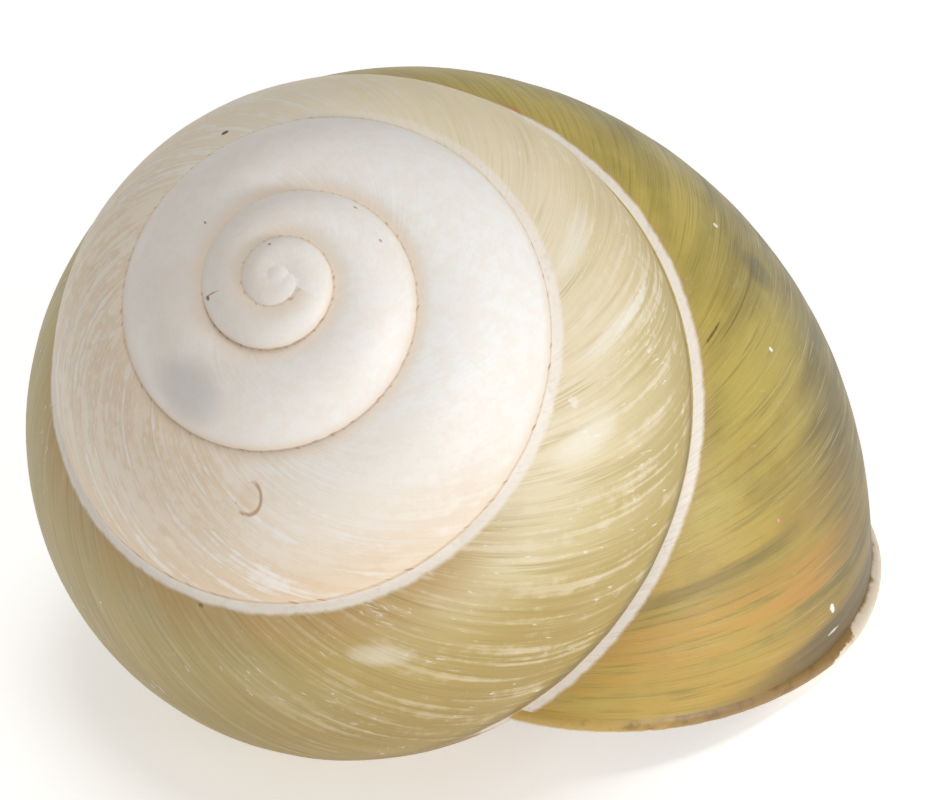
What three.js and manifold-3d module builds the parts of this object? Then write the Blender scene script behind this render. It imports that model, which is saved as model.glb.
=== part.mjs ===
// Land snail shell in millimetres: one grown piece, a tube that widens as it winds round an axis.
// It lies as an empty shell comes to rest, mouth down, with +Z up and its broad side to -Y.

import * as THREE from 'three';
import { mergeVertices } from 'three/addons/utils/BufferGeometryUtils.js';
import Module from 'manifold-3d';

const wasm = await Module();
wasm.setup();

// Growth of the tube. Turns count the whorls from the tip. In the shell's own axes the tip is the
// origin, the axis of winding runs down from it along -z, and every whole turn lies towards +x.
const wholeTurns = [0, 1, 2, 3, 4, 5];
const whorlRadius = [1.63, 3.2, 7.66, 13.71, 18.08, 26.71];
const whorlDepth = [1.46, 2.19, 5.85, 13.08, 21.77, 42.36];

// Half sizes of the tube's outline as shares of the whorl's radius, and its outward lean in radians
const side = { turns: [2, 4, 5], shares: [0.459, 0.4, 0.384] };
const crown = { turns: [0, 2, 3, 4, 5], shares: [0.33, 0.474, 0.608, 0.671, 0.664] };
const baseShare = 0.6;
const crownDip = 0.25;
const navelRise = { turns: [4.1, 4.8], shares: [0.4, 0.95] };
const boreShare = 0.03;
const lean = { turns: [4, 5], angles: [0.117, 0.155] };

// The tube is made in stretches of less than a turn, which never meet themselves. Each end lies a
// little less than a turn after one before it, so that no two ends share a plane.
const tipTurn = -0.35;
const tipShare = 0.1;
const mouthTurn = 4.46;
const lastTurn = 5;
const stretchEnds = [0.18, 0.54, 1.16, 1.52, 2.14, 2.5, 3.12, 3.48, 4.1, mouthTurn, lastTurn];
const fineFrom = 2.4;
const tubeRings = { coarse: 18, fine: 30, outerCorners: 6, innerCorners: 3 };
const roomRings = { coarse: 14, fine: 20, outerCorners: 5, innerCorners: 3 };

// Walls and the hollow, which runs up from the mouth
const hollowFrom = 1.6;
const wallAtTip = 0.4;
const wallAtMouth = 0.8;
const coreShare = 0.1;
const columella = { topRadius: 0.35, footRadius: 2.6, top: -1.6, foot: -34.4, footDepth: 2.9, sides: 14 };
const nucleus = { radius: 1.05, height: 0.62, depth: 1.5 };

// Mouth: its edge leans back from the end of the suture round to the base, in turns for each radian
const sutureAngle = THREE.MathUtils.degToRad(66.4);
const edgeLean = 0.103;
const edgeLeanChange = -0.0056;
const roomOverrun = 0.09;
const lip = { atSuture: 0.45, atSide: 0.75, atColumella: 1.25, thickness: 0.55, steps: 36, sides: 8 };
const lipStart = sutureAngle + THREE.MathUtils.degToRad(9);
const lipEnd = THREE.MathUtils.degToRad(-172);

// Rest: the directions that point up and to the front, in the shell's own axes
const upInShell = new THREE.Vector3(-0.5607, 0.2948, 0.7737).normalize();
const frontInShell = new THREE.Vector3(0.4, 0.084, 0.912);
const footDepth = 0.25;
const blockSize = 160;

const quarter = Math.PI / 2;
const justPast = 1e-6;
const tangentStep = 0.01;
const depthShares = whorlDepth.map((depth, i) => depth / whorlRadius[i]);
const radiusLogs = whorlRadius.map(Math.log);

// The smooth curve through the given values, read at one turn
function through(turns, values, turn) {
  let sum = 0;
  for (const [i, value] of values.entries()) {
    let weight = 1;
    for (const [j, other] of turns.entries()) {
      weight *= j === i ? 1 : (turn - other) / (turns[i] - other);
    }
    sum += value * weight;
  }
  return sum;
}

function navelShare(turn) {
  const [from, to] = navelRise.turns;
  return THREE.MathUtils.lerp(...navelRise.shares, THREE.MathUtils.smoothstep(turn, from, to));
}

// Sizes of the tube at one turn. Before turn 0 it rounds off to almost nothing at the tip.
function tubeAt(turn) {
  const grown = Math.max(turn, 0);
  const fullRadius = Math.exp(through(wholeTurns, radiusLogs, grown));
  const taper = turn < 0 ? Math.sqrt(Math.max(1 - (turn / tipTurn) ** 2, tipShare ** 2)) : 1;
  const radius = fullRadius * taper;
  const leanNow = through(lean.turns, lean.angles, grown);
  const sideNow = radius * through(side.turns, side.shares, grown);
  const crownNow = radius * through(crown.turns, crown.shares, grown);
  return {
    side: sideNow,
    crown: crownNow,
    base: radius * baseShare,
    bore: radius * boreShare,
    core: radius * coreShare,
    navel: radius * baseShare * navelShare(grown),
    lean: leanNow,
    middle: radius - Math.hypot(sideNow * Math.cos(leanNow), crownNow * Math.sin(leanNow)),
    height: -fullRadius * through(wholeTurns, depthShares, grown),
  };
}

// One point of the outline as [distance from the axis, height]. The angle is -90 degrees at the
// base, 0 at the widest line, 90 at the crown, 180 beside the axis and 270 at the base again.
function outlinePoint(tube, angle, wall, inner) {
  const out = Math.cos(angle);
  const up = Math.sin(angle);
  const tall = (up > 0 ? tube.crown : tube.base) - wall;
  const slope = [Math.cos(tube.lean), Math.sin(tube.lean)];
  if (angle <= quarter) {
    const across = (tube.side - wall) * out;
    const rise = tall * up;
    return [
      tube.middle + across * slope[0] - rise * slope[1],
      tube.height + across * slope[1] + rise * slope[0],
    ];
  }
  const end = Math.sign(up) * tall;
  const endDistance = tube.middle - end * slope[1];
  const endHeight = tube.height + end * slope[0];
  const distance = endDistance + (endDistance - inner) * out;
  if (up > 0) {
    return [distance, endHeight - crownDip * tube.crown * (1 - up)];
  }
  return [distance, endHeight + tube.navel * (1 + up) + (distance - endDistance) * Math.tan(tube.lean)];
}

// The turn of a corner on the ring that meets the suture at the given turn. Rings stand straight
// up to the last half whorl, and lean more and more from there to the mouth.
function leaningTurn(turn, angle) {
  if (turn <= mouthTurn) {
    return turn;
  }
  const baseBack = edgeBack(sutureAngle + quarter);
  let back = angle > Math.PI ? baseBack : edgeBack(Math.max(sutureAngle - angle, 0));
  if (angle > quarter && angle <= Math.PI) {
    back = baseBack * (angle - quarter) / quarter;
  }
  return turn - back * (turn - mouthTurn) / (lastTurn - mouthTurn);
}

function edgeBack(radians) {
  return edgeLean * radians + edgeLeanChange * radians ** 2;
}

function placed([distance, height], turn) {
  const azimuth = -2 * Math.PI * turn;
  return new THREE.Vector3(distance * Math.cos(azimuth), distance * Math.sin(azimuth), height);
}

// Angles of the outline's corners. Its last two quarters meet in an edge along the axis.
function cornerAngles(outerSteps, innerSteps) {
  const quarters = [
    [-quarter, 0, outerSteps],
    [0, quarter, outerSteps],
    [quarter, Math.PI - justPast, innerSteps],
    [Math.PI + justPast, 3 * quarter, innerSteps],
  ];
  const angles = [];
  for (const [from, to, steps] of quarters) {
    for (let i = 0; i < steps; i += 1) {
      angles.push(from + (to - from) * i / steps);
    }
  }
  angles.splice(2 * outerSteps + innerSteps, 0, Math.PI - justPast);
  return angles;
}

function toSolid(geometry) {
  const bare = geometry.clone();
  bare.deleteAttribute('normal');
  bare.deleteAttribute('uv');
  const merged = mergeVertices(bare);
  return new wasm.Manifold(new wasm.Mesh({
    numProp: 3,
    vertProperties: new Float32Array(merged.attributes.position.array),
    triVerts: new Uint32Array(merged.index.array),
  }));
}

// A closed solid through rings of corners, with a fan over each end
function ringSolid(rings) {
  const corners = rings[0].length;
  const indices = [];
  for (let ring = 0; ring + 1 < rings.length; ring += 1) {
    for (let corner = 0; corner < corners; corner += 1) {
      const a = ring * corners + corner;
      const b = ring * corners + (corner + 1) % corners;
      indices.push(a, b, b + corners, a, b + corners, a + corners);
    }
  }
  const last = (rings.length - 1) * corners;
  for (let corner = 1; corner + 1 < corners; corner += 1) {
    indices.push(0, corner + 1, corner, last, last + corner, last + corner + 1);
  }
  const positions = rings.flat().flatMap((point) => point.toArray());
  const geometry = new THREE.BufferGeometry();
  geometry.setAttribute('position', new THREE.Float32BufferAttribute(positions, 3));
  geometry.setIndex(indices);
  return toSolid(geometry);
}

// The turns of the rings of every stretch. Each stretch begins with the last ring but one of the
// stretch before it, so that the two share a length of tube.
function stretchTurns(rings) {
  let from = tipTurn;
  let shared = [];
  return stretchEnds.map((to) => {
    const count = Math.ceil((to - from) * (from < fineFrom ? rings.coarse : rings.fine));
    const turns = [...shared];
    for (let i = 0; i <= count; i += 1) {
      turns.push(from + (to - from) * i / count);
    }
    shared = [turns.at(-2)];
    from = to;
    return turns;
  });
}

function ringCorner(turn, angle, isRoom) {
  const grown = leaningTurn(turn, angle);
  const tube = tubeAt(grown);
  const wall = isRoom ? THREE.MathUtils.mapLinear(grown, 0, lastTurn, wallAtTip, wallAtMouth) : 0;
  return placed(outlinePoint(tube, angle, wall, isRoom ? tube.core : tube.bore), grown);
}

// One stretch of the tube, solid, or as the room inside its wall
function stretchSolid(turns, rings, isRoom) {
  const angles = cornerAngles(rings.outerCorners, rings.innerCorners);
  return ringSolid(turns.map((turn) => angles.map((angle) => ringCorner(turn, angle, isRoom))));
}

// A block that fills the space on the side of a plane that its normal points to
function blockBeyond(normal, point) {
  const block = new THREE.BoxGeometry(blockSize, blockSize, blockSize);
  block.translate(0, 0, blockSize / 2);
  block.applyQuaternion(new THREE.Quaternion().setFromUnitVectors(new THREE.Vector3(0, 0, 1), normal));
  block.translate(point.x, point.y, point.z);
  return toSolid(block);
}

// The rounded bead of the lip, from the suture over the outside and the base to the columella
function lipSolid() {
  const widths = { places: [0, 0.5, 1], values: [lip.atSuture, lip.atSide, lip.atColumella] };
  const edgePoint = (turn, share) => {
    const angle = THREE.MathUtils.lerp(lipStart, lipEnd, share);
    return ringCorner(turn, angle < -quarter ? angle + 2 * Math.PI : angle, false);
  };
  const rings = [];
  for (let step = 0; step <= lip.steps; step += 1) {
    const share = step / lip.steps;
    const point = edgePoint(lastTurn, share);
    const ahead = edgePoint(lastTurn, share + tangentStep);
    const along = ahead.sub(edgePoint(lastTurn, share - tangentStep)).normalize();
    const growth = point.clone().sub(edgePoint(lastTurn - tangentStep, share));
    growth.addScaledVector(along, -growth.dot(along)).normalize();
    const outward = new THREE.Vector3().crossVectors(growth, along);
    const width = through(widths.places, widths.values, share);
    rings.push(Array.from({ length: lip.sides }, (_, k) => {
      const angle = 2 * Math.PI * k / lip.sides;
      return point.clone()
        .addScaledVector(outward, width * Math.cos(angle) - wallAtMouth / 2)
        .addScaledVector(growth, lip.thickness * (Math.sin(angle) - 0.5));
    }));
  }
  return ringSolid(rings);
}

// The core of the columella, which closes the bore along the axis and ends in a rounded foot
function columellaSolid() {
  const { topRadius, footRadius, top, foot, footDepth: depth, sides } = columella;
  const profile = [new THREE.Vector2(0, foot - depth)];
  for (const angle of [quarter / 4, quarter / 2, 3 * quarter / 4, quarter]) {
    profile.push(new THREE.Vector2(footRadius * Math.sin(angle), foot - depth * Math.cos(angle)));
  }
  profile.push(new THREE.Vector2(topRadius, top), new THREE.Vector2(0, top));
  const spindle = new THREE.LatheGeometry(profile, sides);
  spindle.rotateX(quarter);
  return toSolid(spindle);
}

function nucleusSolid() {
  const dome = new THREE.SphereGeometry(nucleus.radius, 16, 10);
  dome.scale(1, 1, nucleus.height / nucleus.radius);
  dome.translate(0, 0, -nucleus.depth);
  return toSolid(dome);
}

// A stretch's room stays out of the whorl above, which is all that was there before the stretch
// that it grows from. At the mouth the room runs out past the edge.
function shellSolid() {
  const tubeTurns = stretchTurns(tubeRings);
  const roomTurns = stretchTurns(roomRings);
  roomTurns.at(-1).push(lastTurn + roomOverrun);
  let whorlAbove = columellaSolid().add(nucleusSolid());
  let outside = whorlAbove;
  let hollow = null;
  for (const [i, turns] of tubeTurns.entries()) {
    if (turns.at(-1) > hollowFrom) {
      const room = stretchSolid(roomTurns[i], roomRings, true).subtract(whorlAbove);
      hollow = hollow ? hollow.add(room) : room;
    }
    whorlAbove = outside;
    outside = outside.add(stretchSolid(turns, tubeRings, false));
  }
  return outside.subtract(hollow).add(lipSolid());
}

function toGeometry(solid) {
  const mesh = solid.getMesh();
  const geometry = new THREE.BufferGeometry();
  geometry.setAttribute('position', new THREE.BufferAttribute(mesh.vertProperties, mesh.numProp));
  geometry.setIndex(new THREE.BufferAttribute(mesh.triVerts, 1));
  return geometry;
}

// Turn from the shell's own axes to the resting ones
const back = frontInShell.clone().projectOnPlane(upInShell).normalize().negate();
const right = new THREE.Vector3().crossVectors(back, upInShell);
const restingTurn = new THREE.Matrix4().makeBasis(right, back, upInShell).transpose();

const shellMaterial = new THREE.MeshStandardMaterial({ color: 0xc9b48a, roughness: 0.6, metalness: 0 });

// The shell stands on its lip and its belly, where the surface it rests on has worn small flats
function restingShell() {
  const worn = shellSolid();
  const lowest = toGeometry(worn).applyMatrix4(restingTurn);
  lowest.computeBoundingBox();
  const footPoint = upInShell.clone().multiplyScalar(lowest.boundingBox.min.z + footDepth);
  const solid = worn.subtract(blockBeyond(upInShell.clone().negate(), footPoint));
  const shell = new THREE.Mesh(toGeometry(solid), shellMaterial);
  shell.name = 'shell';
  shell.quaternion.setFromRotationMatrix(restingTurn);
  const size = new THREE.Box3().setFromObject(shell, true);
  shell.position.set(-(size.min.x + size.max.x) / 2, -(size.min.y + size.max.y) / 2, -size.min.z);
  return shell;
}

const model = new THREE.Group();
model.add(restingShell());

export default model;
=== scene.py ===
import math

import bpy
import numpy as np
from mathutils import Matrix, Vector


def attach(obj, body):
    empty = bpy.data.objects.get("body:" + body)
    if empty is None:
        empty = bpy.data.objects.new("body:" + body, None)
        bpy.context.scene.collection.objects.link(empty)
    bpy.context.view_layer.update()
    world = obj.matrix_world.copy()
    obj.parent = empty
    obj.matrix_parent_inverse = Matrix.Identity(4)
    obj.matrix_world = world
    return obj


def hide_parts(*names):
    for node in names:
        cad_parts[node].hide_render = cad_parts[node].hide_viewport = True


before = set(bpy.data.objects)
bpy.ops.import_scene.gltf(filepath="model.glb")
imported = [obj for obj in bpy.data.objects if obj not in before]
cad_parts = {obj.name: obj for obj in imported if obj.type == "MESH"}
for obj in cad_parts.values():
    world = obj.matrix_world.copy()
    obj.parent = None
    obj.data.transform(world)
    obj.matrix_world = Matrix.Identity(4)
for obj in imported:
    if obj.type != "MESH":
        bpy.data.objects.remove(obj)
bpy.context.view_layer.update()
print("frame loaded")

scene = bpy.context.scene
mm = 0.001
quarter = math.pi / 2
fullTurn = 2 * math.pi


# Nodes. A Field is a socket that can be added, multiplied and compared like a number.

class Field:
    def __init__(self, board, socket):
        self.board = board
        self.socket = socket

    def __add__(self, other):
        return self.board.math("ADD", self, other)

    def __sub__(self, other):
        return self.board.math("SUBTRACT", self, other)

    def __rsub__(self, other):
        return self.board.math("SUBTRACT", other, self)

    def __mul__(self, other):
        return self.board.math("MULTIPLY", self, other)

    def __truediv__(self, other):
        return self.board.math("DIVIDE", self, other)

    def __rtruediv__(self, other):
        return self.board.math("DIVIDE", other, self)

    def __neg__(self):
        return self * -1

    __radd__ = __add__
    __rmul__ = __mul__


class Made:  # a node on the board, whose outputs are read by name or number
    def __init__(self, board, node):
        self.board = board
        self.node = node

    def __getitem__(self, name):
        return Field(self.board, self.node.outputs[name])


class Board:  # a node tree to set nodes out on
    def __init__(self, tree):
        self.tree = tree

    def node(self, kind, settings=None, inputs=None):
        made = self.tree.nodes.new(kind)
        for name, value in (settings or {}).items():
            if name == "stops":
                self.setStops(made.color_ramp.elements, value)
            else:
                setattr(made, name, value)
        pairs = inputs.items() if isinstance(inputs, dict) else enumerate(inputs or [])
        for name, value in pairs:
            self.feed(made.inputs[name], value)
        return Made(self, made)

    def setStops(self, elements, stops):
        while len(elements) < len(stops):
            elements.new(1.0)
        for element, (place, colour) in zip(elements, stops):
            element.position = place
            element.color = (*colour, 1)

    def feed(self, socket, value):
        if isinstance(value, list):
            for each in value:
                self.tree.links.new(each.socket, socket)
        elif isinstance(value, Field):
            self.tree.links.new(value.socket, socket)
        elif socket.type == "RGBA":
            socket.default_value = (*value, 1)
        else:
            socket.default_value = value

    def math(self, operation, *values):
        return self.node("ShaderNodeMath", {"operation": operation}, values)[0]

    def sin(self, value):
        return self.math("SINE", value)

    def cos(self, value):
        return self.math("COSINE", value)

    def tan(self, value):
        return self.math("TANGENT", value)

    def root(self, value):
        return self.math("SQRT", value)

    def power(self, value):
        return self.math("EXPONENT", value)

    def higher(self, one, other):
        return self.math("MAXIMUM", one, other)

    def lower(self, one, other):
        return self.math("MINIMUM", one, other)

    def over(self, one, other):
        return self.math("GREATER_THAN", one, other)

    def smoothStep(self, value, low, high):
        return self.node("ShaderNodeMapRange", {"interpolation_type": "SMOOTHSTEP"},
                         {"Value": value, "From Min": low, "From Max": high})["Result"]

    def noise(self, vector, detail=2.0, roughness=0.5, dimensions="2D"):
        return self.node("ShaderNodeTexNoise", {"noise_dimensions": dimensions}, {
            "Vector": vector, "Scale": 1.0, "Detail": detail, "Roughness": roughness})["Fac"]

    def mix(self, share, one, other):  # of two colours
        return self.node("ShaderNodeMix", {"data_type": "RGBA"}, {0: share, 6: one, 7: other})[2]

    def ramp(self, share, stops):
        return self.node("ShaderNodeValToRGB", {"stops": stops}, [share])["Color"]

    def vector(self, x, y, z=0.0):
        return self.node("ShaderNodeCombineXYZ", None, [x, y, z])[0]

    def vectorMath(self, operation, *values, out="Vector"):
        return self.node("ShaderNodeVectorMath", {"operation": operation}, values)[out]

    def scaled(self, vector, number):
        return self.node("ShaderNodeVectorMath", {"operation": "SCALE"},
                         {"Vector": vector, "Scale": number})[0]

    def stored(self, mesh, kind, domain, name, value):  # the mesh with a named attribute
        return self.node("GeometryNodeStoreNamedAttribute", {"data_type": kind, "domain": domain},
                         {"Geometry": mesh, "Name": name, "Value": value})[0]


class Plain:  # the same maths on plain numbers
    sin, cos, tan, root, power = np.sin, np.cos, np.tan, np.sqrt, np.exp
    higher, lower = np.maximum, np.minimum

    def over(self, one, other):
        return (one > other) * 1.0

    def smoothStep(self, value, low, high):
        share = np.clip((value - low) / (high - low), 0, 1)
        return share * share * (3 - share * 2)


def either(test, yes, no):  # test is 1 or 0, or a share between them
    return (yes - no) * test + no


def clamped(m, value):
    return m.lower(m.higher(value, 0.0), 1.0)


def newGroup(name, inputs, outputs, kind="GeometryNodeTree"):
    tree = bpy.data.node_groups.new(name, kind)
    for label, (socketKind, value) in inputs.items():
        socket = tree.interface.new_socket(label, in_out="INPUT", socket_type=socketKind)
        if value is not None:
            socket.default_value = value
    for label, socketKind in outputs.items():
        tree.interface.new_socket(label, in_out="OUTPUT", socket_type=socketKind)
    board = Board(tree)
    return board, board.node("NodeGroupInput")


def endGroup(board, results):
    board.node("NodeGroupOutput", None, results)
    return board.tree


# How the tube grows, in mm and in turns from the tip. Whole turns lie towards +x of the shell's
# own axes, the tip is their origin and the axis of winding runs down along -z.

growth = {
    "wholeTurns": [0, 1, 2, 3, 4, 5],
    "whorlRadius": [1.63, 3.2, 7.66, 13.71, 18.08, 26.71],
    "whorlDepth": [1.46, 2.19, 5.85, 13.08, 21.77, 42.36],
    "side": ([2, 4, 5], [0.459, 0.4, 0.384]),
    "crown": ([0, 2, 3, 4, 5], [0.33, 0.474, 0.608, 0.671, 0.664]),
    "base": 0.6,
    "crownDip": 0.25,
    "navelTurns": (4.1, 4.8),
    "navelRise": (0.4, 0.95),
    "lean": ([4, 5], [0.117, 0.155]),
    "tipTurn": -0.35,
    "tipShare": 0.1,
    "bore": 0.03,
    "core": 0.1,
    "leanSettles": (3.0, 4.1),  # turns over which growth lines lose their early lean
    "earlyLean": 0.035,
}
mouth = {
    "turn": 4.46,
    "lastTurn": 5,
    "sutureAngle": math.radians(66.4),
    "edgeLean": 0.103,
    "edgeLeanChange": -0.0056,
    "overrun": 0.09,
    "wall": 0.8,
    "wallAtTip": 0.4,
}
relief = {  # growth folds that the tube itself has
    "height": 0.05,  # in mm
    "foldsATurn": 34,
    "foldsARadian": 0.7,
    "fade": 3,  # towards the navel and the inner side
    "grows": (2.2, 4.2),
}
tube = {  # rings and corners of the mesh
    "ends": [0.18, 0.54, 1.16, 1.52, 2.14, 2.5, 3.12, 3.48, 4.1, 4.46, 5],
    "coarse": 100,
    "fine": 200,
    "fineFrom": 2.4,
    "outerSteps": 28,
    "innerSteps": 6,
    "sharpFrom": math.radians(50),
    "merged": 1e-3,  # in mm
}
parts = {"skin": 0, "room": 1, "lip": 2}  # which finish a face takes
lip = {  # half widths of the bead at the suture, the side and the columella, in mm
    "widths": [0.45, 0.75, 1.25],
    "turnedOut": (0.22, 0.36, 0.46, 0.62, 0.3),  # where it widens and narrows again, and by how much
    "thickness": 0.55,
    "start": math.radians(75.4),
    "end": math.radians(-172),
    "steps": 140,
    "sides": 16,
    "ahead": 0.01,  # how far off its direction is taken
}
columella = {
    "topRadius": 0.35,
    "footRadius": 2.6,
    "top": -1.6,
    "foot": -34.4,
    "footDepth": 2.9,
    "sides": 48,
    "ballRings": 24,
}
nucleus = {"radius": 1.05, "height": 0.62, "depth": 1.5}
room = {"from": 3.4, "ringsATurn": 100, "outerSteps": 20, "innerSteps": 5}


def curveThrough(turns, values):
    return [float(each) for each in np.polyfit(turns, values, len(turns) - 1)]


def along(curve, turn):
    total = curve[0]
    for each in curve[1:]:
        total = turn * total + each
    return total


radiusCurve = curveThrough(growth["wholeTurns"], np.log(growth["whorlRadius"]))
depthCurve = curveThrough(growth["wholeTurns"],
                          np.divide(growth["whorlDepth"], growth["whorlRadius"]))
sideCurve = curveThrough(*growth["side"])
crownCurve = curveThrough(*growth["crown"])
leanCurve = curveThrough(*growth["lean"])


def edgeBack(angle):
    return angle * mouth["edgeLean"] + angle * angle * mouth["edgeLeanChange"]


def leaningTurn(m, turn, angle):  # rings stand straight at first and lean back towards the mouth
    baseBack = edgeBack(mouth["sutureAngle"] + quarter)
    outerBack = edgeBack(m.higher(mouth["sutureAngle"] - angle, 0.0))
    innerBack = m.lower((angle - quarter) * (baseBack / quarter), baseBack)
    back = either(m.over(angle, quarter), innerBack, outerBack)
    return turn - back * m.higher((turn - mouth["turn"]) / (mouth["lastTurn"] - mouth["turn"]), 0.0)


def growthTurn(m, turn, angle):  # the turn at which the growth line through a point meets the suture
    early = 1 - m.smoothStep(turn, *growth["leanSettles"])
    down = m.lower(mouth["sutureAngle"] - angle, mouth["sutureAngle"] + quarter)
    return turn + down * early * growth["earlyLean"] + edgeBack(down)


def outline(m, turn, angle, lower, wall, innerShare):  # distance from the axis, and height
    whole = m.higher(turn, 0.0)
    tipShare = m.lower(turn, 0.0) / growth["tipTurn"]
    taper = m.root(m.higher(1 - tipShare * tipShare, growth["tipShare"] ** 2))
    fullRadius = m.power(along(radiusCurve, whole))
    radius = fullRadius * taper
    side = radius * along(sideCurve, whole)
    crown = radius * along(crownCurve, whole)
    base = radius * growth["base"]
    low, high = growth["navelRise"]
    navel = base * (m.smoothStep(whole, *growth["navelTurns"]) * (high - low) + low)
    lean = along(leanCurve, whole)
    across = m.cos(lean)
    slope = m.sin(lean)
    wide = side * across
    tilted = crown * slope
    middle = radius - m.root(wide * wide + tilted * tilted)
    height = -(fullRadius * along(depthCurve, whole))
    inner = radius * innerShare

    out = m.cos(angle)
    up = m.sin(angle)
    sideways = (side - wall) * out
    rise = (either(m.over(up, 0.0), crown, base) - wall) * up
    outerDistance = middle + sideways * across - rise * slope
    outerHeight = height + sideways * slope + rise * across

    end = either(lower, wall - base, crown - wall)
    endDistance = middle - end * slope
    endHeight = height + end * across
    innerDistance = endDistance + (endDistance - inner) * out
    upperHeight = endHeight - crown * growth["crownDip"] * (1 - up)
    lowerHeight = endHeight + navel * (up + 1) + (innerDistance - endDistance) * m.tan(lean)
    isInner = m.over(angle, quarter + 1e-5)
    return (either(isInner, innerDistance, outerDistance),
            either(isInner, either(lower, lowerHeight, upperHeight), outerHeight))


def pointGroup():  # one point of the tube's skin, or of the room inside it
    board, given = newGroup("shellPoint", {
        "Turn": ("NodeSocketFloat", 0.0),
        "Angle": ("NodeSocketFloat", 0.0),
        "Lower": ("NodeSocketFloat", 0.0),
        "Room": ("NodeSocketFloat", 0.0),
        "Relief": ("NodeSocketFloat", relief["height"]),
    }, {"Point": "NodeSocketVector", "Grown Turn": "NodeSocketFloat"})
    angle = given["Angle"]
    turn = leaningTurn(board, given["Turn"], angle)
    folds = board.noise(board.vector(growthTurn(board, turn, angle) * relief["foldsATurn"],
                                     angle * relief["foldsARadian"]))
    fade = board.smoothStep(turn, *relief["grows"]) * clamped(board, board.cos(angle) * relief["fade"])
    thickens = (mouth["wall"] - mouth["wallAtTip"]) / mouth["lastTurn"]
    thick = board.higher(turn, 0.0) * thickens + mouth["wallAtTip"]
    wall = either(given["Room"], thick, (0.5 - folds) * 2 * given["Relief"] * fade)
    innerShare = either(given["Room"], growth["core"], growth["bore"])
    distance, height = outline(board, turn, angle, given["Lower"], wall, innerShare)
    azimuth = turn * -fullTurn
    point = board.vector(distance * board.cos(azimuth), distance * board.sin(azimuth), height)
    return endGroup(board, [point, turn])


def gridOf(board, rows, columns):  # a flat mesh to be bent, with its row and column numbers
    mesh = board.node("GeometryNodeMeshGrid", None,
                      {"Size X": 1.0, "Size Y": 1.0, "Vertices X": rows, "Vertices Y": columns})["Mesh"]
    index = board.node("GeometryNodeInputIndex")[0]
    row = board.math("FLOOR", (index + 0.5) / columns)
    return mesh, row, index - row * columns


def bentGrid(board, mesh, place, whorl, part):  # the closed mesh, which carries its own map
    marked = board.stored(mesh, "FLOAT_VECTOR", "POINT", "place", whorl)
    carried = board.node("GeometryNodeInputNamedAttribute", {"data_type": "FLOAT_VECTOR"},
                         {"Name": "place"})[0]
    mapped = board.stored(marked, "FLOAT2", "CORNER", "whorl", carried)
    moved = board.node("GeometryNodeSetPosition", None, {"Geometry": mapped, "Position": place})[0]
    closed = board.node("GeometryNodeMergeByDistance", None,
                        {"Geometry": moved, "Distance": tube["merged"]})[0]
    outwards = board.node("GeometryNodeFlipFaces", None, [closed])[0]
    return board.stored(outwards, "FLOAT", "FACE", "part", part)


def stretchGroup(pointTree):  # a closed length of the tube, or of the room inside it
    board, given = newGroup("tubeStretch", {
        "First Turn": ("NodeSocketFloat", 0.0),
        "Last Turn": ("NodeSocketFloat", 1.0),
        "Rings": ("NodeSocketInt", 50),
        "Outer Steps": ("NodeSocketInt", 20),
        "Inner Steps": ("NodeSocketInt", 5),
        "Room": ("NodeSocketFloat", 0.0),
        "Relief": ("NodeSocketFloat", relief["height"]),
    }, {"Mesh": "NodeSocketGeometry"})
    outer = given["Outer Steps"]
    inner = given["Inner Steps"]
    rings = given["Rings"]
    mesh, row, column = gridOf(board, rings + 3, (outer + inner) * 2 + 2)
    share = clamped(board, (row - 1) / rings)
    turn = given["First Turn"] + (given["Last Turn"] - given["First Turn"]) * share
    past = column - outer * 2
    lower = board.over(past, inner + 0.5)
    angle = either(board.over(past, 0.0), (past - lower) / inner * quarter + quarter,
                   column / outer * quarter - quarter)
    isPole = board.higher(board.over(0.5, row), board.over(row, rings + 1.5))

    def pointAt(angleNow, lowerNow, isRoom):
        return board.node("GeometryNodeGroup", {"node_tree": pointTree}, {
            "Turn": turn, "Angle": angleNow, "Lower": lowerNow, "Room": isRoom, "Relief": given["Relief"]})

    onRing = pointAt(angle, lower, given["Room"])
    poles = board.vectorMath("ADD", pointAt(quarter, 0.0, 1.0)["Point"], pointAt(-quarter, 0.0, 1.0)["Point"])
    place = board.node("ShaderNodeMix", {"data_type": "VECTOR"},
                       {0: isPole, 4: onRing["Point"], 5: board.scaled(poles, 0.5)})[1]
    whorl = board.vector(onRing["Grown Turn"], angle)
    return endGroup(board, [bentGrid(board, mesh, place, whorl, given["Room"] * parts["room"])])


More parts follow.
